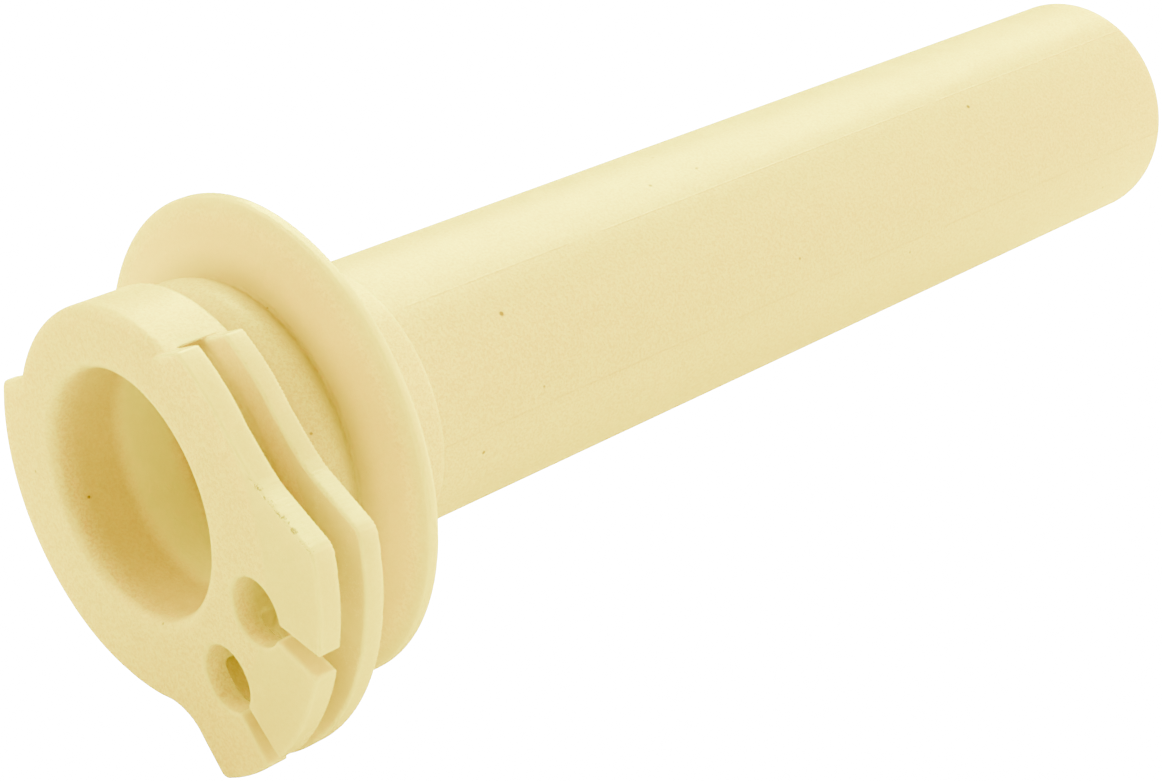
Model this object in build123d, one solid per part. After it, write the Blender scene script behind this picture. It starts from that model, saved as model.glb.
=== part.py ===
from build123d import *
import os
from math import cos, sin, radians, sqrt

os.makedirs("parts", exist_ok=True)

# Throttle tube moulding for a 7/8 inch (22.2 mm) handlebar.
# The tube axis is Y: the cable drum is at the -Y end, the grip sleeve runs to +Y.
# The origin is on the bore axis, on the rear face of the guard flange, where
# the rubber grip would butt.  Millimetres, +Z up.

# ---- bore and sleeve -------------------------------------------------------
BORE_R = 11.25          # 22.5 bore: 22.2 bar plus 0.15 radial clearance
MOUTH_ROUND = 1.3       # rounded lead-in at the drum mouth
LAND_ROUND = 1.3        # soft outer edge of the drum face, over the land
SLEEVE_R = 12.8         # 25.6 outside, 1.55 wall
SLEEVE_END_ROUND = 0.5
LIP_LENGTH = 1.5

# ---- axial stations --------------------------------------------------------
Y_FRONT = -15.4         # flat front face of the drum
CHEEK_1_T = 2.2         # front cable cheek
TRACK_W = 2.5           # cable track between the cheeks
CHEEK_2_T = 1.9         # rear cable cheek
Y_CHEEK_1 = Y_FRONT + CHEEK_1_T
Y_TRACK = Y_CHEEK_1 + TRACK_W
Y_CHEEK_2 = Y_TRACK + CHEEK_2_T
Y_HUB = -8.3            # rear edge of the drum land
Y_NECK = -7.2           # end of the narrow relief groove
Y_RING = -2.4           # root of the dished flange face
Y_RIM = -1.1            # front edge of the flange rim
Y_FLANGE = 0.0          # rear face of the flange
Y_STEP = 5.6            # first collar step
Y_COLLAR = 8.9          # collar ends, sleeve begins
Y_END = 122.6           # open end of the sleeve

# ---- radii -----------------------------------------------------------------
TRACK_R = 15.9          # floor of the cable track
LAND_R = 16.75          # raised land over the top of the drum
CHEEK_R = 19.05         # round part of both cheeks
LUG_R = 25.7            # outer end of the cable lug
NECK_R = 14.8           # floor of the relief groove
RING_R = 16.0           # crown of the rounded bearing ring
RING_EDGE_R = 15.2      # ring where it meets the flange face
RIM_R = 22.45           # guard flange
RIM_ROUND = 0.5
COLLAR_R1 = 14.1
COLLAR_R2 = 13.75
COLLAR_R3 = 13.35

# ---- cheek outline ---------------------------------------------------------
CHORD_ANGLE = 24.5      # direction of the straight cut across the cheeks
CHORD_D = 11.5          # its distance from the axis
LUG_ANGLE = -27.5       # middle of the cable lug, from +X towards +Z
LUG_UP = [(15.2, 9.9), (17.9, 8.75), (27.5, 4.2)]        # upper straight side
LUG_LOW = [(5.6, -17.1), (8.0, -19.5), (14.5, -26.05)]   # lower straight side
LUG_OUT = (28.5, -15.0)  # clear of the round end, which LUG_R trims
NOSE_ROUND = 0.6
ROOT_ROUND = 2.2

# ---- cable nipple sockets and slots ---------------------------------------
SOCKET_R = 3.05
SOCKET_C = 17.65        # distance of both sockets from the axis
SOCKET_SPREAD = 15.9    # each side of the lug middle
SOCKET_DEPTH = 5.6
SLOT_IN = 1.55          # width where the slot leaves the socket
SLOT_OUT = 2.3          # width at the end of the lug
EDGE = 0.3              # small edge round on the cheeks


def turned(points, arcs=()):
    """Solid of revolution about Y from (radius, y) points; arcs maps the
    index of a span to the point it passes through."""
    spans = []
    n = len(points)
    for i in range(n):
        a, b = points[i], points[(i + 1) % n]
        if i in arcs:
            spans.append(ThreePointArc(a, arcs[i], b))
        else:
            spans.append(Line(a, b))
    face = make_face(Wire(spans))
    return revolve(face, axis=Axis.Y, revolution_arc=360)


def at_y(y):
    """Sketch plane across the axis whose local x, y are X, Z."""
    return Plane(origin=(0, y, 0), x_dir=(1, 0, 0), z_dir=(0, -1, 0))


def slab(sketch, y0, y1):
    """Extrude a cross-axis sketch from y0 to y1."""
    return extrude(at_y(y1) * sketch, amount=y1 - y0)


def near(items, x, y):
    return items.sort_by_distance((x, y, 0))[0]


def cut_above_chord():
    """Half plane on the +Z side of the straight cut."""
    return Rot(0, 0, CHORD_ANGLE) * Pos(0, CHORD_D + 30) * Rectangle(120, 60)


def cheek_outline():
    lug = make_face(Polyline(*LUG_UP, LUG_OUT, *reversed(LUG_LOW), (4, 0), close=True))
    lug = lug & Circle(LUG_R)
    shape = Circle(CHEEK_R) + lug
    shape -= cut_above_chord()
    c1 = near(shape.vertices(), 25.1, 5.35)
    c2 = near(shape.vertices(), 11.46, -23.0)
    shape = fillet([c1, c2], NOSE_ROUND)
    r1 = near(shape.vertices(), 17.1, 8.9)
    shape = fillet([r1], ROOT_ROUND)
    r2 = near(shape.vertices(), 7.6, -18.9)
    shape = fillet([r2], ROOT_ROUND)
    return shape


def socket_centre(side):
    a = radians(LUG_ANGLE + side * SOCKET_SPREAD)
    return SOCKET_C * cos(a), SOCKET_C * sin(a)


def slot_shape(side):
    a = LUG_ANGLE + side * SOCKET_SPREAD
    r0 = SOCKET_C + 2.0
    r1 = LUG_R + 2.0
    wedge = make_face(Polyline((r0, -SLOT_IN / 2), (r1, -SLOT_OUT / 2 - 0.1),
                               (r1, SLOT_OUT / 2 + 0.1), (r0, SLOT_IN / 2),
                               close=True))
    return Rot(0, 0, a) * wedge


def sockets():
    """Both blind nipple pockets as cutting solids."""
    cuts = []
    for side in (1, -1):
        x, z = socket_centre(side)
        cuts.append(slab(Pos(x, z) * Circle(SOCKET_R), Y_FRONT - 1,
                         Y_FRONT + SOCKET_DEPTH))
    return cuts


def slots():
    """Cable slots, through the front cheek only."""
    return [slab(slot_shape(s), Y_FRONT - 1, Y_CHEEK_1) for s in (1, -1)]


outline = cheek_outline()
pockets = sockets()


def edge_rounds(plate):
    """Edges of the cheek rim, both faces, clear of the straight cut."""
    found = []
    for e in plate.edges():
        c = e.center()
        flat = abs(c.Y - e.vertices()[0].Y) < 1e-6
        outside = (c.X ** 2 + c.Z ** 2) ** 0.5 > CHEEK_R - 0.6
        below = (c.Z * cos(radians(CHORD_ANGLE))
                 - c.X * sin(radians(CHORD_ANGLE))) < CHORD_D - 0.3
        if flat and outside and below:
            found.append(e)
    return fillet(found, EDGE)


# ---- front cable cheek: plate, land and the bore mouth --------------------
front_cheek = edge_rounds(slab(outline - Circle(TRACK_R - 2), Y_FRONT,
                               Y_CHEEK_1))
k = LAND_ROUND * (1 - sqrt(0.5))
front_cheek += turned([(0, Y_FRONT), (LAND_R - LAND_ROUND, Y_FRONT),
                       (LAND_R, Y_FRONT + LAND_ROUND), (LAND_R, Y_CHEEK_1),
                       (0, Y_CHEEK_1)], {1: (LAND_R - k, Y_FRONT + k)})
m = BORE_R + MOUTH_ROUND * (1 - sqrt(0.5))
front_cheek -= turned([(0, Y_FRONT - 1), (BORE_R + MOUTH_ROUND, Y_FRONT - 1),
                       (BORE_R + MOUTH_ROUND, Y_FRONT),
                       (BORE_R, Y_FRONT + MOUTH_ROUND),
                       (BORE_R, Y_CHEEK_1 + 1), (0, Y_CHEEK_1 + 1)],
                      {2: (m, Y_FRONT + m - BORE_R)})
for p in pockets + slots():
    front_cheek -= p

# ---- cable track core: floor of the track, land over the top --------------
track_core = slab(Circle(TRACK_R) + ((Circle(LAND_R)) & cut_above_chord())
                  - Circle(BORE_R), Y_CHEEK_1, Y_TRACK)
for p in pockets:
    track_core -= p

# ---- rear cable cheek: no slots, the pockets end blind in it ---------------
rear_cheek = edge_rounds(slab(outline - Circle(TRACK_R - 2), Y_TRACK,
                              Y_CHEEK_2))
rear_cheek += slab(Circle(LAND_R), Y_TRACK, Y_CHEEK_2)
rear_cheek -= slab(Circle(BORE_R), Y_TRACK - 1, Y_CHEEK_2 + 1)
for p in pockets:
    rear_cheek -= p

# ---- relief neck: rear edge of the land, then a narrow groove --------------
relief_neck = turned([(BORE_R, Y_CHEEK_2), (LAND_R, Y_CHEEK_2),
                      (LAND_R, Y_HUB - 0.2), (LAND_R - 0.2, Y_HUB),
                      (NECK_R + 0.45, Y_HUB), (NECK_R, Y_HUB + 0.45),
                      (NECK_R, Y_NECK), (BORE_R, Y_NECK)],
                     {4: (NECK_R + 0.13, Y_HUB + 0.13)})

# ---- rounded bearing ring the housing runs on -----------------------------
bearing_ring = turned([(BORE_R, Y_NECK), (NECK_R, Y_NECK),
                       (RING_EDGE_R, Y_RING), (BORE_R, Y_RING)],
                      {1: (RING_R, -4.7)})

# ---- guard flange, dished on the drum side --------------------------------
guard_flange = turned([(BORE_R, Y_RING), (RING_EDGE_R, Y_RING),
                       (RIM_R - RIM_ROUND, Y_RIM), (RIM_R, Y_RIM + 0.5),
                       (RIM_R - 0.55, Y_FLANGE), (COLLAR_R1, Y_FLANGE),
                       (BORE_R, Y_FLANGE)],
                      {1: (18.6, -1.95),
                       2: (RIM_R - 0.15, Y_RIM + 0.14),
                       3: (RIM_R - 0.16, Y_FLANGE - 0.16)})

# ---- collar the rubber grip stops against ---------------------------------
grip_stop_collar = turned([(BORE_R, Y_FLANGE), (COLLAR_R1, Y_FLANGE),
                           (COLLAR_R1, Y_STEP), (COLLAR_R2, Y_STEP + 0.25),
                           (COLLAR_R3, Y_COLLAR - 0.2),
                           (COLLAR_R3 - 0.2, Y_COLLAR), (BORE_R, Y_COLLAR)])

# ---- grip sleeve and its rounded open end ---------------------------------
Y_LIP = Y_END - LIP_LENGTH
grip_sleeve = turned([(BORE_R, Y_COLLAR), (SLEEVE_R, Y_COLLAR),
                      (SLEEVE_R, Y_LIP), (BORE_R, Y_LIP)])
q = SLEEVE_END_ROUND * (1 - sqrt(0.5))
sleeve_end_lip = turned([(BORE_R, Y_LIP), (SLEEVE_R, Y_LIP),
                         (SLEEVE_R, Y_END - SLEEVE_END_ROUND),
                         (SLEEVE_R - SLEEVE_END_ROUND, Y_END),
                         (BORE_R + SLEEVE_END_ROUND, Y_END),
                         (BORE_R, Y_END - SLEEVE_END_ROUND)],
                        {2: (SLEEVE_R - q, Y_END - q),
                         4: (BORE_R + q, Y_END - q)})

for name, shape in {
    "front_cable_cheek": front_cheek,
    "cable_track_core": track_core,
    "rear_cable_cheek": rear_cheek,
    "relief_neck": relief_neck,
    "bearing_ring": bearing_ring,
    "guard_flange": guard_flange,
    "grip_stop_collar": grip_stop_collar,
    "grip_sleeve": grip_sleeve,
    "sleeve_end_lip": sleeve_end_lip,
}.items():
    export_step(shape, "parts/" + name + ".step")
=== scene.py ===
import math

import bpy
import numpy as np
from mathutils import Matrix, Vector


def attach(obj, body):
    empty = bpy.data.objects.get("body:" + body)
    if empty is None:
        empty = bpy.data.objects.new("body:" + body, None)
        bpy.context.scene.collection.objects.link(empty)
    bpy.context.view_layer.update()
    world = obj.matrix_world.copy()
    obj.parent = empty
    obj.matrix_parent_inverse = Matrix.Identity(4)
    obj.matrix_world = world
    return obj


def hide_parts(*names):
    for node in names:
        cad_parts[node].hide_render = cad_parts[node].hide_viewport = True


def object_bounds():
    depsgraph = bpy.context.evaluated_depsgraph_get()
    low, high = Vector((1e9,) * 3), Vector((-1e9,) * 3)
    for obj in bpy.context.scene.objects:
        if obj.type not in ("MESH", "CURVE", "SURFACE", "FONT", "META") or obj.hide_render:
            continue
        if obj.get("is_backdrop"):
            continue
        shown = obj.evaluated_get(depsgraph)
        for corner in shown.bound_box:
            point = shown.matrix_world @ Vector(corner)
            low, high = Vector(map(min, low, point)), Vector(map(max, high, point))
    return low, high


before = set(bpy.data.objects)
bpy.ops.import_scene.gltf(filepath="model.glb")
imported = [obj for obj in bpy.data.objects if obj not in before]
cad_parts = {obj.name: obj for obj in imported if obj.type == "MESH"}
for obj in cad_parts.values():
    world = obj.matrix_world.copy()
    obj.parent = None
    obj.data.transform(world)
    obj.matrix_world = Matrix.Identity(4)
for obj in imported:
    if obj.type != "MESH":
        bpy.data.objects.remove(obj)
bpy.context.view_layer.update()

MM = 0.001

# ---------------------------------------------------------------------------
# The moulding as one continuous skin.  Everything below is in millimetres, in
# the row frame: the tube axis is Y, the drum face looks along -Y.
# ---------------------------------------------------------------------------
BORE_R, SLEEVE_R = 11.25, 12.8
Y_FRONT, Y_CHEEK_1, Y_TRACK, Y_CHEEK_2 = -15.4, -13.2, -10.7, -8.8
Y_HUB, Y_NECK, Y_RING, Y_RIM, Y_FLANGE = -8.3, -7.2, -2.4, -1.1, 0.0
Y_STEP, Y_COLLAR, Y_END = 5.6, 8.9, 122.6
TRACK_R, LAND_R, CHEEK_R, LUG_R = 15.9, 16.75, 19.05, 25.7
NECK_R, RING_R, RIM_R = 14.8, 16.0, 22.44
COLLAR_R1, COLLAR_R2, COLLAR_R3 = 14.1, 13.75, 13.35
CHORD_ANGLE, CHORD_D, LUG_ANGLE = 24.5, 11.5, -27.5
LUG_SHAPE = [(15.2, 9.9), (17.9, 8.75), (27.5, 4.2), (28.5, -17.0), (14.5, -26.05),
             (8.0, -19.5), (5.6, -17.1), (4.0, 0.0)]
SOCKET_R, SOCKET_C, SOCKET_SPREAD, SOCKET_DEPTH = 3.05, 17.65, 15.9, 5.6
SLOT_IN, SLOT_OUT = 1.55, 2.3


def join(a, b, r):
    """Union with a fillet of radius r in the inside corner."""
    if r <= 0:
        return np.minimum(a, b)
    u, v = np.maximum(r - a, 0), np.maximum(r - b, 0)
    return np.maximum(r, np.minimum(a, b)) - np.sqrt(u * u + v * v)


def both(a, b, r):
    """Intersection with an outside edge rounded to radius r."""
    u, v = np.maximum(r + a, 0), np.maximum(r + b, 0)
    return np.minimum(-r, np.maximum(a, b)) + np.sqrt(u * u + v * v)


def slab(d2, y, y0, y1, r):
    """A cross-axis outline d2 extruded from y0 to y1, edges rounded to r."""
    return both(d2, np.abs(y - (y0 + y1) / 2) - (y1 - y0) / 2, r)


def polygon(px, py, pts):
    """Signed distance to a closed polygon."""
    best = np.full(np.broadcast(px, py).shape, 1e9)
    inside = np.zeros(best.shape, bool)
    n = len(pts)
    for i in range(n):
        ax, ay = pts[i]
        bx, by = pts[(i + 1) % n]
        ex, ey = bx - ax, by - ay
        wx, wy = px - ax, py - ay
        t = np.clip((wx * ex + wy * ey) / (ex * ex + ey * ey), 0, 1)
        best = np.minimum(best, (wx - ex * t) ** 2 + (wy - ey * t) ** 2)
        if ey != 0:
            inside ^= ((ay > py) != (by > py)) & (px < ex * (py - ay) / ey + ax)
    d = np.sqrt(best)
    return np.where(inside, -d, d)


class Table:
    """A two-dimensional distance field kept on a fine grid."""

    def __init__(self, f, a0, a1, b0, b1, step):
        self.a0, self.b0, self.step = a0, b0, step
        a = np.arange(a0, a1 + step, step)
        b = np.arange(b0, b1 + step, step)
        self.v = f(a[:, None], b[None, :])

    def __call__(self, a, b):
        na, nb = self.v.shape
        fa = np.clip((a - self.a0) / self.step, 0, na - 1.001)
        fb = np.clip((b - self.b0) / self.step, 0, nb - 1.001)
        ia, ib = fa.astype(np.int32), fb.astype(np.int32)
        fa, fb = fa - ia, fb - ib
        v = self.v
        return ((v[ia, ib] * (1 - fa) + v[ia + 1, ib] * fa) * (1 - fb)
                + (v[ia, ib + 1] * (1 - fa) + v[ia + 1, ib + 1] * fa) * fb)


CHORD_N = (-math.sin(math.radians(CHORD_ANGLE)), math.cos(math.radians(CHORD_ANGLE)))
NOSES = []
for side in (1, -1):
    a = math.radians(LUG_ANGLE + side * SOCKET_SPREAD)
    NOSES.append((math.cos(a), math.sin(a)))


def plate_outline(x, z):
    """Outline of both cheeks: a disc with the lug, cut off straight above."""
    r = np.hypot(x, z)
    lug = both(polygon(x, z, LUG_SHAPE), r - LUG_R, 0.6)
    d = join(r - CHEEK_R, lug, 2.2)
    return both(d, x * CHORD_N[0] + z * CHORD_N[1] - CHORD_D, 0.15)


def turned_part(rho, y):
    """Everything behind the drum, as a profile of radius against y."""
    def rod(radius, y0, y1, r):
        return slab(rho - radius, y, y0, y1, r)
    d = rod(LAND_R, -9.6, Y_HUB, 0.25)
    d = join(d, rod(NECK_R, -9.6, 2.0, 0.0), 0.35)
    ring = np.hypot(rho - 12.72, y + 4.78) - 3.3
    d = join(d, ring, 0.5)
    flange = polygon(rho, y, [(0, -2.18), (15.2, -2.18), (18.6, -1.78), (21.0, -1.24),
                              (RIM_R - 0.22, -0.90), (RIM_R - 0.22, -0.22),
                              (0, -0.22)]) - 0.22
    d = join(d, flange, 0.45)
    collar = polygon(rho, y, [(0, -0.5), (COLLAR_R1, -0.5), (COLLAR_R1, Y_STEP),
                              (COLLAR_R2, Y_STEP + 0.25), (COLLAR_R3, Y_COLLAR - 0.15),
                              (COLLAR_R3 - 0.15, Y_COLLAR), (0, Y_COLLAR)])
    d = join(d, collar, 0.2)
    sleeve = rod(SLEEVE_R, 0.0, Y_END, 0.5)
    return join(d, sleeve, 0.12)


outline_field = Table(plate_outline, -25.5, 28.5, -26.5, 25.0, 0.05)
turned_field = Table(turned_part, 0.0, 30.0, -17.5, 14.0, 0.05)


def field(x, y, z):
    """Signed distance to the whole moulding, negative in the plastic."""
    rho = np.hypot(x, z)
    chord = x * CHORD_N[0] + z * CHORD_N[1] - CHORD_D
    out2 = outline_field(x, z)
    # the round side of the cheeks is soft, the lug side is crisp
    soft = np.interp(x, (-2.0, 9.0), (0.75, 0.16))
    front = slab(out2, y, Y_FRONT, Y_CHEEK_1, soft)
    rear = slab(out2, y, Y_TRACK, Y_CHEEK_2, np.minimum(soft, 0.3))
    core = slab(rho - TRACK_R, y, -14.0, -9.2, 0.0)
    drum = join(join(core, front, 0.45), rear, 0.45)
    # the land, rounded well over on to the drum face
    face = both(both(rho - LAND_R, Y_FRONT - y, 1.3), y - Y_CHEEK_1, 0.0)
    back = both(slab(rho - LAND_R, y, Y_CHEEK_1 - 0.8, -9.2, 0.0), -chord, 0.15)
    land = np.minimum(face, back)
    far = slab(rho - SLEEVE_R, y, 0.0, Y_END, 0.5)
    tail = np.where(y < 11.0, turned_field(rho, np.minimum(y, 13.0)), far)
    d = np.minimum(np.minimum(drum, land), tail)
    # bore, with its rounded mouth and a smaller round at the far end
    bore = np.where(y < 40, both(BORE_R - rho, Y_FRONT - y, 1.0),
                    both(BORE_R - rho, y - Y_END, 0.45))
    d = np.maximum(d, bore)
    # nipple pockets and the slots that lead out of them
    for nx, nz in NOSES:
        pocket = np.maximum(np.hypot(x - SOCKET_C * nx, z - SOCKET_C * nz) - SOCKET_R,
                            y - (Y_FRONT + SOCKET_DEPTH))
        along = x * nx + z * nz
        across = np.abs(x * nz - z * nx)
        w = SLOT_IN / 2 + (along - 19.6) * (SLOT_OUT - SLOT_IN) / 2 / (LUG_R - 19.6)
        slot = np.maximum(np.maximum(across - w, 18.5 - along), y - (Y_CHEEK_1 + 0.6))
        d = both(d, -np.minimum(pocket, slot), 0.22)
    return d


def skin(xs, ys, zs):
    """Dual mesh of the zero level on a rectilinear grid: vertices and quads."""
    nx, ny, nz = len(xs), len(ys), len(zs)
    F = np.empty((nx, ny, nz), np.float32)
    X, Z = xs[:, None], zs[None, :]
    for j, y in enumerate(ys):
        F[:, j, :] = field(X + 0 * Z, np.full((nx, nz), y), Z + 0 * X)
    S = F < 0
    cell = (slice(None, -1), slice(1, None))
    count = np.zeros((nx - 1, ny - 1, nz - 1), np.int8)
    for a in (0, 1):
        for b in (0, 1):
            for c in (0, 1):
                count += S[cell[a], cell[b], cell[c]]
    act = np.argwhere((count > 0) & (count < 8))
    idx = np.full(count.shape, -1, np.int32)
    idx[act[:, 0], act[:, 1], act[:, 2]] = np.arange(len(act))
    acc, hits = np.zeros((len(act), 3)), np.zeros(len(act))
    grid = (xs, ys, zs)
    for axis in range(3):
        o1, o2 = [k for k in range(3) if k != axis]
        for p in (0, 1):
            for q in (0, 1):
                lo = act.copy()
                lo[:, o1] += p
                lo[:, o2] += q
                hi = lo.copy()
                hi[:, axis] += 1
                f0 = F[lo[:, 0], lo[:, 1], lo[:, 2]].astype(float)
                f1 = F[hi[:, 0], hi[:, 1], hi[:, 2]].astype(float)
                m = (f0 < 0) != (f1 < 0)
                t = np.where(m, f0 / np.where(m, f0 - f1, 1), 0)
                P = np.stack([grid[k][lo[:, k]] for k in range(3)], 1)
                P[:, axis] += t * (grid[axis][hi[:, axis]] - grid[axis][lo[:, axis]])
                acc[m] += P[m]
                hits[m] += 1
    V = acc / hits[:, None]
    quads = []
    for axis in range(3):
        o1, o2 = (axis + 1) % 3, (axis + 2) % 3
        lo = [slice(None)] * 3
        hi = [slice(None)] * 3
        lo[axis], hi[axis] = slice(None, -1), slice(1, None)
        for k in (o1, o2):
            lo[k] = hi[k] = slice(1, -1)
        s0, s1 = S[tuple(lo)], S[tuple(hi)]
        at = np.argwhere(s0 != s1)
        leaving = s0[at[:, 0], at[:, 1], at[:, 2]]
        base = at.copy()
        base[:, o1] += 1
        base[:, o2] += 1
        ring = []
        for p, q in ((-1, -1), (0, -1), (0, 0), (-1, 0)):
            c = base.copy()
            c[:, o1] += p
            c[:, o2] += q
            ring.append(idx[c[:, 0], c[:, 1], c[:, 2]])
        ring = np.stack(ring, 1)
        ring[~leaving] = ring[~leaving][:, ::-1]
        quads.append(ring)
    return V, np.concatenate(quads)


def slope(P, h=0.03):
    g = np.empty_like(P)
    for k in range(3):
        a, b = P.copy(), P.copy()
        a[:, k] -= h
        b[:, k] += h
        g[:, k] = (field(b[:, 0], b[:, 1], b[:, 2]) - field(a[:, 0], a[:, 1], a[:, 2])) / (2 * h)
    return g


STEP = 0.24
xs = np.arange(-23.2, 26.6, STEP)
zs = np.arange(-24.0, 23.2, STEP)
ys = np.concatenate([np.arange(-16.0, 10.2, STEP), np.linspace(10.4, 121.2, 90),
                     np.arange(121.4, 123.2, 0.2)])
V, quads = skin(xs, ys, zs)
for _ in range(3):
    d = field(V[:, 0], V[:, 1], V[:, 2])
    g = slope(V)
    step = d[:, None] * g / np.maximum((g * g).sum(1), 0.25)[:, None]
    length = np.linalg.norm(step, axis=1)
    step *= (np.minimum(length, 0.12) / np.maximum(length, 1e-9))[:, None]
    V -= step
N = slope(V, 0.05)
N /= np.linalg.norm(N, axis=1)[:, None]

mesh = bpy.data.meshes.new("throttle_tube")
mesh.vertices.add(len(V))
mesh.vertices.foreach_set("co", (V * MM).astype(np.float32).ravel())
mesh.loops.add(len(quads) * 4)
mesh.loops.foreach_set("vertex_index", quads.astype(np.int32).ravel())
mesh.polygons.add(len(quads))
mesh.polygons.foreach_set("loop_start", np.arange(0, len(quads) * 4, 4, dtype=np.int32))
mesh.polygons.foreach_set("loop_total", np.full(len(quads), 4, np.int32))
mesh.update(calc_edges=True)
mesh.validate()
mesh.polygons.foreach_set("use_smooth", np.ones(len(mesh.polygons), bool))
mesh.normals_split_custom_set_from_vertices(N.astype(np.float32))


def about(P, h):
    """Second difference of the field: positive on outside corners."""
    total = -6 * field(P[:, 0], P[:, 1], P[:, 2])
    for k in range(3):
        for sgn in (-h, h):
            Q = P.copy()
            Q[:, k] += sgn
            total = total + field(Q[:, 0], Q[:, 1], Q[:, 2])
    return total / h


def hollow(P, N):
    """How closed in each point is, from 0 in the open to 1 deep inside."""
    total, weight = 0.0, 0.0
    for t, w in ((0.8, 1.0), (1.6, 1.0), (3.2, 1.0), (6.0, 0.8)):
        Q = P + N * t
        total = total + w * np.clip((t - field(Q[:, 0], Q[:, 1], Q[:, 2])) / t, 0, 1)
        weight += w
    return total / weight


# measures for the colour below: outside corners get a painted highlight, hollows get painted shade
for name, values in (("corner", np.clip(about(V, 0.3) * 0.9, 0, 1)),
                     ("painted_cavity_shade", hollow(V, N))):
    attr = mesh.attributes.new(name, "FLOAT", "POINT")
    attr.data.foreach_set("value", values.astype(np.float32))
tube = bpy.data.objects.new("throttle_tube_moulding", mesh)
bpy.context.scene.collection.objects.link(tube)
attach(tube, "root")
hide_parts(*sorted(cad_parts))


# ---------------------------------------------------------------------------
# Natural nylon
# ---------------------------------------------------------------------------
class Graph:
    """Small helper for building a node graph in a few lines."""

    def __init__(self, mat):
        mat.use_nodes = True
        self.t = mat.node_tree
        self.t.nodes.clear()

    def add(self, kind, **props):
        n = self.t.nodes.new(kind)
        for k, v in props.items():
            setattr(n, k, v)
        return n

    def link(self, a, b):
        self.t.links.new(a, b)

    def put(self, socket, value):
        if isinstance(value, bpy.types.NodeSocket):
            self.link(value, socket)
        else:
            socket.default_value = value

    def math(self, op, *args, clamp=False):
        n = self.add("ShaderNodeMath", operation=op, use_clamp=clamp)
        for i, a in enumerate(args):
            self.put(n.inputs[i], a)
        return n.outputs[0]

    def vec(self, op, *args):
        n = self.add("ShaderNodeVectorMath", operation=op)
        for i, a in enumerate(args):
            self.put(n.inputs[i], a)
        return n.outputs["Value"] if op in ("LENGTH", "DISTANCE", "DOT_PRODUCT") else n.outputs[0]

    def ramp(self, x, a, b, lo=0.0, hi=1.0):
        """Smooth step of x from a to b, giving lo to hi."""
        n = self.add("ShaderNodeMapRange", interpolation_type="SMOOTHSTEP", clamp=True)
        for i, v in enumerate((x, a, b, lo, hi)):
            self.put(n.inputs[i], v)
        return n.outputs[0]

    def noise(self, where, scale, detail=2.0, rough=0.5):
        n = self.add("ShaderNodeTexNoise")
        self.link(where, n.inputs["Vector"])
        n.inputs["Scale"].default_value = scale
        n.inputs["Detail"].default_value = detail
        n.inputs["Roughness"].default_value = rough
        return n.outputs[0]

    def mix(self, f, a, b):
        n = self.add("ShaderNodeMix", data_type="RGBA")
        self.put(n.inputs[0], f)
        self.put(n.inputs[6], a)
        self.put(n.inputs[7], b)
        return n.outputs[2]

    def most(self, *xs):
        out = xs[0]
        for x in xs[1:]:
            out = self.math("MAXIMUM", out, x)
        return out

    def all_of(self, *xs):
        out = xs[0]
        for x in xs[1:]:
            out = self.math("MULTIPLY", out, x)
        return out


mat = bpy.data.materials.new("natural_nylon")
G = Graph(mat)
out = G.add("ShaderNodeOutputMaterial")
bsdf = G.add("ShaderNodeBsdfPrincipled")
G.link(bsdf.outputs[0], out.inputs["Surface"])

# position on the moulding in millimetres, and its cylindrical coordinates
coord = G.add("ShaderNodeTexCoord").outputs["Object"]
P = G.vec("MULTIPLY", coord, (1000, 1000, 1000))
sep = G.add("ShaderNodeSeparateXYZ")
G.link(P, sep.inputs[0])
X, Y, Z = sep.outputs
RHO = G.math("SQRT", G.math("ADD", G.math("MULTIPLY", X, X), G.math("MULTIPLY", Z, Z)))
THETA = G.math("MULTIPLY", G.math("ARCTAN2", Z, X), 180 / math.pi)
CHORD = G.math("ADD", G.math("MULTIPLY", X, CHORD_N[0]), G.math("MULTIPLY", Z, CHORD_N[1]))
along = G.add("ShaderNodeCombineXYZ")
G.link(G.math("MULTIPLY", THETA, 0.22), along.inputs[0])
G.link(G.math("MULTIPLY", Y, 0.05), along.inputs[1])
STRETCH = along.outputs[0]


def close_to(value, centre, half, soft):
    """1 where |value - centre| < half, falling to 0 over soft."""
    return G.ramp(G.math("ABSOLUTE", G.math("SUBTRACT", value, centre)), half + soft, half)


def spot(x, y, z, r):
    return G.ramp(G.vec("DISTANCE", P, (x, y, z)), r, r * 0.45)


def on_tube(theta, y, radius=SLEEVE_R):
    a = math.radians(theta)
    return radius * math.cos(a), y, radius * math.sin(a)


# where the plastic is thin, light passes and it reads paler and greyer
outer = G.ramp(RHO, 20.3, 22.3)
rim = G.all_of(outer, close_to(Y, -0.6, 1.2, 0.5))
front_plate = close_to(Y, (Y_FRONT + Y_CHEEK_1) / 2, 1.15, 0.3)
rear_plate = close_to(Y, (Y_TRACK + Y_CHEEK_2) / 2, 1.0, 0.3)
plates = G.most(front_plate, rear_plate)
cheek_zone = G.ramp(RHO, 18.4, 19.3)
thin = G.most(rim, G.all_of(plates, cheek_zone, G.ramp(G.math("ADD", X, Z), -6.0, 4.0)))

# the straight trimmed edges of both cheeks: glossier, with marks across them, and a painted highlight on them
(ax, az), (bx, bz) = LUG_SHAPE[1], LUG_SHAPE[2]
side_n = Vector((az - bz, bx - ax)).normalized()
SIDE_D = ax * side_n.x + az * side_n.y
SIDE = G.math("ADD", G.math("MULTIPLY", X, side_n.x), G.math("MULTIPLY", Z, side_n.y))
sawn = G.all_of(G.most(G.all_of(close_to(CHORD, CHORD_D, 0.14, 0.12), G.ramp(RHO, LAND_R + 0.1, LAND_R + 0.5)),
                       G.all_of(close_to(SIDE, SIDE_D, 0.14, 0.12), G.ramp(X, 17.2, 18.6))), plates)

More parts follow.
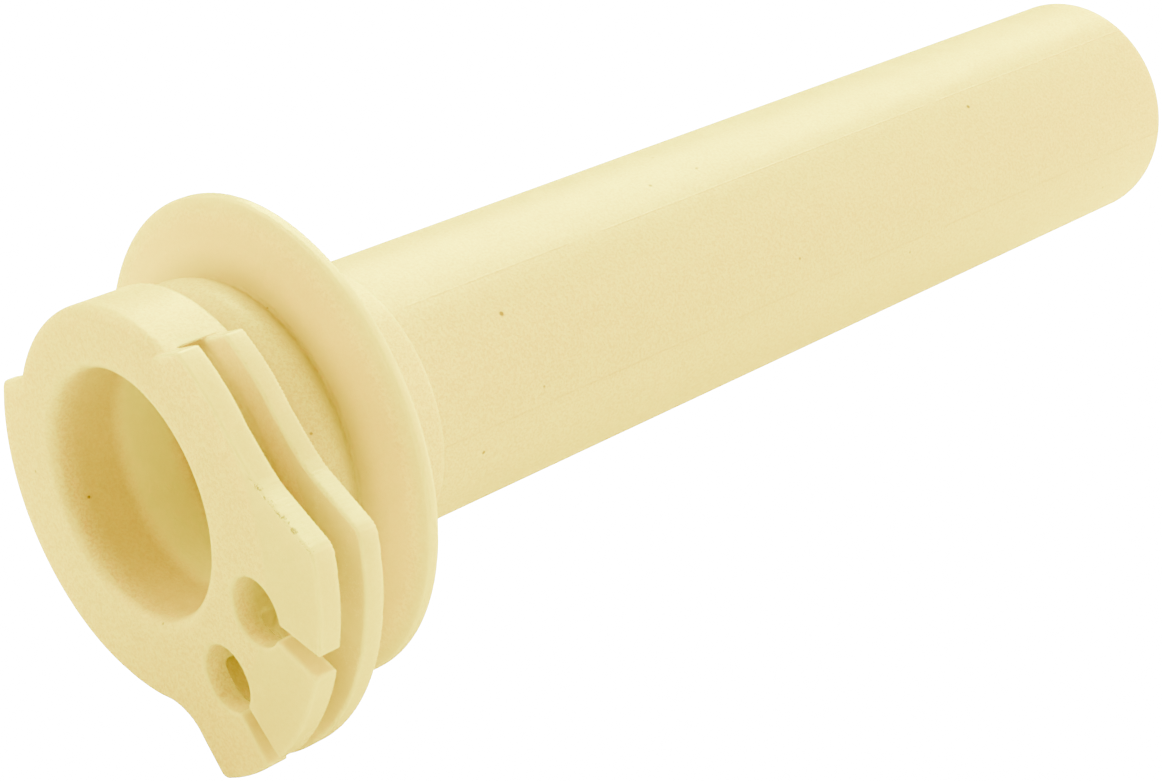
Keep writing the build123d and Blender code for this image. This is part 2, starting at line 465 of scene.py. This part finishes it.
clouds = G.noise(P, 0.055, 3.0, 0.55)
flow = G.noise(STRETCH, 0.9, 3.0, 0.6)
grain = G.noise(P, 3.6, 2.0, 0.6)
fine = G.noise(P, 6.5, 2.0, 0.7)

BASE, PALE, DEEP, GREY = ((0.940, 0.825, 0.380, 1), (0.955, 0.880, 0.450, 1),
                            (0.850, 0.765, 0.300, 1), (0.800, 0.790, 0.540, 1))
tone = G.mix(G.ramp(clouds, 0.32, 0.70), PALE, BASE)
tone = G.mix(G.math("MULTIPLY", G.ramp(flow, 0.45, 0.75), 0.35), tone, DEEP)
tone = G.mix(G.math("MULTIPLY", G.ramp(grain, 0.5, 0.8), 0.22), tone, DEEP)
tone = G.mix(G.math("MULTIPLY", G.ramp(fine, 0.40, 0.75), 0.55), tone, DEEP)
tone = G.mix(G.math("MULTIPLY", G.ramp(fine, 0.60, 0.28), 0.50), tone, PALE)
tone = G.mix(G.ramp(fine, 0.44, 0.62, 0.0, 0.58), tone, (0.700, 0.580, 0.230, 1))
tone = G.mix(G.ramp(grain, 0.48, 0.64, 0.0, 0.48), tone, (0.700, 0.580, 0.230, 1))
tone = G.mix(G.ramp(grain, 0.50, 0.36, 0.0, 0.60), tone, (0.990, 0.940, 0.500, 1))
tone = G.mix(G.math("MULTIPLY", thin, 0.75), tone, GREY)
# painted shade on the flange's front face, where the drum shadows it
painted_flange_shade = G.all_of(close_to(Y, -1.8, 0.9, 0.4), G.ramp(RHO, 21.4, 19.6), G.ramp(RHO, 14.5, 16.0))
tone = G.mix(G.math("MULTIPLY", painted_flange_shade, 0.80), tone, DEEP)
# painted shade in the valley at the flange root, the groove behind the hub and the track between the cheeks
painted_groove_shade = G.most(G.all_of(G.ramp(RHO, 18.2, 15.8), close_to(Y, -2.3, 0.7, 0.9), G.ramp(RHO, 14.0, 14.8)),
                 G.all_of(G.ramp(RHO, 16.6, 15.4), close_to(Y, -7.7, 0.5, 0.5), G.ramp(RHO, 14.0, 14.6)),
                 G.all_of(G.ramp(RHO, 17.2, 16.0), close_to(Y, -11.95, 1.1, 0.3), G.ramp(RHO, 14.0, 14.8),
                          G.ramp(CHORD, CHORD_D, CHORD_D - 0.6)))
tone = G.mix(G.math("MULTIPLY", painted_groove_shade, 0.55), tone, (0.700, 0.640, 0.250, 1))
streak = G.add("ShaderNodeCombineXYZ")
G.link(G.math("ADD", X, G.math("MULTIPLY", Z, 0.4)), streak.inputs[0])
G.link(G.math("MULTIPLY", Y, 0.12), streak.inputs[1])
STREAKS = G.noise(streak.outputs[0], 4.0, 3.0, 0.7)
# painted highlight on the sawn faces, broken into streaks
tone = G.mix(G.all_of(sawn, G.ramp(STREAKS, 0.30, 0.62, 0.45, 1.0)), tone, (0.990, 0.980, 0.680, 1))

# painted shade: deeper gold in the hollows; painted highlight: paler along the corners
CORNER_GLOSS_AND_HIGHLIGHT = G.add("ShaderNodeAttribute", attribute_name="corner").outputs["Fac"]
PAINTED_CAVITY_SHADE = G.add("ShaderNodeAttribute", attribute_name="painted_cavity_shade").outputs["Fac"]
tone = G.mix(G.ramp(PAINTED_CAVITY_SHADE, 0.10, 0.75, 0.0, 0.85), tone, (0.710, 0.625, 0.240, 1))
# painted highlight along the outside corners
tone = G.mix(G.math("MULTIPLY", CORNER_GLOSS_AND_HIGHLIGHT, 0.80), tone, (0.960, 0.940, 0.600, 1))
# the bore: painted shade deeper in than the mouth, broken by a painted glow band where its wall is thin and
# light comes through
inside = G.ramp(RHO, BORE_R + 0.75, BORE_R + 0.15)
painted_glow_band = G.math("MULTIPLY", G.ramp(Y, -9.4, -7.2), G.ramp(Y, -1.4, -4.2))
painted_shade_mask = G.all_of(inside, G.math("SUBTRACT", 1.0, painted_glow_band), G.ramp(Y, Y_FRONT + 0.4, Y_FRONT + 3.4))
tone = G.mix(G.math("MULTIPLY", painted_shade_mask, 0.7), tone, (0.640, 0.520, 0.190, 1))
tone = G.mix(G.all_of(inside, painted_glow_band), tone, (0.985, 0.910, 0.430, 1))
# painted shade inside the nipple pockets, weaker in the second
for (nx, nz), depth in zip(NOSES, (0.70, 0.30)):
    hole = G.vec("DISTANCE", G.vec("MULTIPLY", P, (1, 0, 1)), (SOCKET_C * nx, 0, SOCKET_C * nz))
    painted_shade_mask = G.all_of(G.ramp(hole, SOCKET_R + 0.3, SOCKET_R - 0.1), G.ramp(Y, Y_FRONT + 0.2, Y_FRONT + 2.6),
                     G.ramp(Y, Y_CHEEK_2 - 0.1, Y_CHEEK_2 - 0.4))
    tone = G.mix(G.math("MULTIPLY", painted_shade_mask, depth), tone, (0.600, 0.520, 0.200, 1))

# mould parting lines down the sleeve, broken up where they were wiped
lines = []
for theta, y0, y1 in ((61.7, 9.2, 123.0), (2.2, 9.2, 123.0), (-118.3, 9.2, 123.0), (-177.8, 9.2, 123.0)):
    d = G.math("MULTIPLY", G.math("ABSOLUTE", G.math("SUBTRACT", THETA, theta)), SLEEVE_R * math.pi / 180)
    wiped = G.ramp(G.noise(P, 0.16 + theta * 1e-4, 2.0), 0.36, 0.52)
    lines.append(G.all_of(G.ramp(d, 0.16, 0.03), G.ramp(Y, y0, y0 + 0.4), wiped))
parting = G.all_of(G.most(*lines), G.ramp(RHO, 12.2, 12.5))
tone = G.mix(G.math("MULTIPLY", parting, 0.45), tone, (0.62, 0.50, 0.22, 1))

# specks baked into the plastic, and a random scatter of smaller ones
specks = G.most(spot(*on_tube(44.0, 19.5), 0.32), spot(*on_tube(52.7, 90.5), 0.30),
                spot(*on_tube(-8.0, 14.0), 0.24), spot(*on_tube(75.0, 45.0), 0.24),
                spot(*on_tube(-60.0, 64.0), 0.34), spot(*on_tube(160.0, 33.0), 0.36),
                spot(*on_tube(215.0, 101.0), 0.30))
vor = G.add("ShaderNodeTexVoronoi", feature="F1")
G.link(P, vor.inputs["Vector"])
vor.inputs["Scale"].default_value = 0.22
pick = G.add("ShaderNodeSeparateColor")
G.link(vor.outputs["Color"], pick.inputs[0])
scatter = G.all_of(G.ramp(vor.outputs["Distance"], 0.045, 0.02), G.ramp(pick.outputs[0], 0.62, 0.66))
white_dust = G.all_of(G.ramp(vor.outputs["Distance"], 0.05, 0.02), G.ramp(pick.outputs[0], 0.25, 0.21))
tone = G.mix(G.math("MULTIPLY", G.most(specks, G.math("MULTIPLY", scatter, 0.8)), 0.85), tone,
             (0.16, 0.085, 0.02, 1))
tone = G.mix(G.math("MULTIPLY", white_dust, 0.5), tone, (0.93, 0.93, 0.86, 1))

# grime caught along the front edge of the sawn cut
edge_line = G.all_of(close_to(SIDE, SIDE_D, 0.10, 0.14), close_to(Y, Y_FRONT + 0.1, 0.20, 0.2),
                     G.ramp(X, 17.0, 18.5))
dirt = G.all_of(edge_line, G.ramp(G.noise(P, 1.9, 3.0, 0.7), 0.50, 0.60))
tone = G.mix(G.math("MULTIPLY", dirt, 0.75), tone, (0.13, 0.12, 0.08, 1))
G.link(tone, bsdf.inputs["Base Color"])

# gloss: satin skin, shinier on the thin rims and the sawn cut
rough = G.math("ADD", G.ramp(G.noise(P, 0.35, 3.0, 0.6), 0.3, 0.7, 0.30, 0.41),
               G.math("MULTIPLY", G.most(G.math("MULTIPLY", thin, 0.8), sawn, CORNER_GLOSS_AND_HIGHLIGHT), -0.19))
rough = G.math("ADD", rough, G.ramp(fine, 0.3, 0.7, -0.03, 0.05))
G.link(rough, bsdf.inputs["Roughness"])

# surface relief: fine moulded grain, long draw marks, sawing marks, parting lines
marks = G.all_of(sawn, STREAKS)
relief = G.math("ADD", G.math("MULTIPLY", fine, 0.006), G.math("MULTIPLY", grain, 0.014))
relief = G.math("ADD", relief, G.math("MULTIPLY", G.noise(P, 0.30, 2.0, 0.5), 0.10))
relief = G.math("ADD", relief, G.math("MULTIPLY", flow, 0.012))
relief = G.math("ADD", relief, G.math("MULTIPLY", marks, 0.06))
relief = G.math("ADD", relief, G.math("MULTIPLY", parting, 0.035))
relief = G.math("ADD", relief, G.math("MULTIPLY", G.most(specks, scatter), -0.03))
bump = G.add("ShaderNodeBump")
bump.inputs["Strength"].default_value = 1.0
bump.inputs["Distance"].default_value = 0.001
G.link(relief, bump.inputs["Height"])
G.link(bump.outputs[0], bsdf.inputs["Normal"])

bsdf.inputs["IOR"].default_value = 1.53
bsdf.inputs["Subsurface Weight"].default_value = 1.0
bsdf.inputs["Subsurface Radius"].default_value = (1.0, 0.92, 0.50)
bsdf.inputs["Subsurface Scale"].default_value = 0.0018
bsdf.subsurface_method = "RANDOM_WALK"
mesh.materials.append(mat)
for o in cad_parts.values():
    o.data.materials.clear()
    o.data.materials.append(mat)

# ---------------------------------------------------------------------------
# Floor, light and camera
# ---------------------------------------------------------------------------
lo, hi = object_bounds()
floor_mesh = bpy.data.meshes.new("floor")
S = 3.0
floor_mesh.from_pydata([(-S, -S, 0), (S, -S, 0), (S, S, 0), (-S, S, 0)], [], [(0, 1, 2, 3)])
floor = bpy.data.objects.new("floor", floor_mesh)
floor.location = (0, 0.05, lo.z - 0.0002)
bpy.context.scene.collection.objects.link(floor)
fm = bpy.data.materials.new("floor_white")
F = Graph(fm)
dif = F.add("ShaderNodeBsdfDiffuse")
dif.inputs["Color"].default_value = (0.9, 0.9, 0.9, 1)
em = F.add("ShaderNodeEmission")
em.inputs["Strength"].default_value = 24.0
mx = F.add("ShaderNodeMixShader")
F.link(F.add("ShaderNodeLightPath").outputs["Is Camera Ray"], mx.inputs[0])
F.link(dif.outputs[0], mx.inputs[1])
F.link(em.outputs[0], mx.inputs[2])
F.link(mx.outputs[0], F.add("ShaderNodeOutputMaterial").inputs["Surface"])
floor_mesh.materials.append(fm)
floor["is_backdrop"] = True

world = bpy.data.worlds.new("studio")
bpy.context.scene.world = world
world.use_nodes = True
wt = world.node_tree
wt.nodes.clear()
wo = wt.nodes.new("ShaderNodeOutputWorld")
wb = wt.nodes.new("ShaderNodeBackground")
wb.inputs["Color"].default_value = (1.0, 0.82, 0.02, 1)
wb.inputs["Strength"].default_value = 0.35
wc = wt.nodes.new("ShaderNodeBackground")
wc.inputs["Color"].default_value = (1, 1, 1, 1)
wc.inputs["Strength"].default_value = 24.0
wl = wt.nodes.new("ShaderNodeLightPath")
wm = wt.nodes.new("ShaderNodeMixShader")
wt.links.new(wl.outputs["Is Camera Ray"], wm.inputs[0])
wt.links.new(wb.outputs[0], wm.inputs[1])
wt.links.new(wc.outputs[0], wm.inputs[2])
wt.links.new(wm.outputs[0], wo.inputs["Surface"])


def softbox(name, at, aim, size, watts, tint):
    data = bpy.data.lights.new(name, "AREA")
    data.shape = "RECTANGLE"
    data.size, data.size_y = size
    data.energy = watts
    data.color = tint
    o = bpy.data.objects.new(name, data)
    o.location = at
    o.rotation_mode = "QUATERNION"
    o.rotation_quaternion = (Vector(aim) - Vector(at)).to_track_quat("-Z", "Y")
    bpy.context.scene.collection.objects.link(o)
    return o


aim = (0, 0.015, 0)
# name, direction, distance, brightness (watts if it stood 0.9 m away)
for name, (dx, dy, dz), far, watts in (("key_above_behind", (-0.44, 0.60, 0.75), 0.65, 46.5),
                                       ("upper_left", (-0.65, -0.70, 0.60), 0.30, 16.0),
                                       ("left_fill", (-0.70, -0.72, 0.12), 0.60, 2.0),
                                       ("upper_right", (0.50, 0.60, 0.80), 0.60, 5.0),
                                       ("right_fill", (0.69, 0.72, 0.35), 0.50, 16.0),
                                       ("front_fill", (0.643, -0.616, 0.455), 0.70, 4.0)):
    at = Vector(aim) + Vector((dx, dy, dz)).normalized() * far
    tint = (0.98, 1.0, 0.024) if name == "key_above_behind" else (1.0, 0.76, 0.016)
    scale = far / 0.9
    softbox(name, at, aim, (0.7 * scale, 0.7 * scale), watts * scale * scale, tint)

cam_data = bpy.data.cameras.new("camera")
cam = bpy.data.objects.new("camera", cam_data)
W, H = 1162.0, 781.0
F_PX, CX, CY = 2299.0135, 520.249, 392.030
cam_data.sensor_width = 36.0
cam_data.lens = F_PX / W * 36.0
cam_data.shift_x = (W / 2 - CX) / W
cam_data.shift_y = (CY - H / 2) / W
cam_data.clip_start, cam_data.clip_end = 0.01, 20.0
right = Vector((0.6916000, 0.7222807, 0.0))
up = Vector((-0.3284814, 0.3145283, 0.8906020))
back = Vector((0.6432646, -0.6159404, 0.4547835))
m = Matrix((right, up, back)).transposed().to_4x4()
m.translation = Vector((144.7366, -92.5405 + Y_FRONT, 96.0339)) * MM
cam.matrix_world = m
bpy.context.scene.collection.objects.link(cam)
bpy.context.scene.camera = cam

lo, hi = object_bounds()
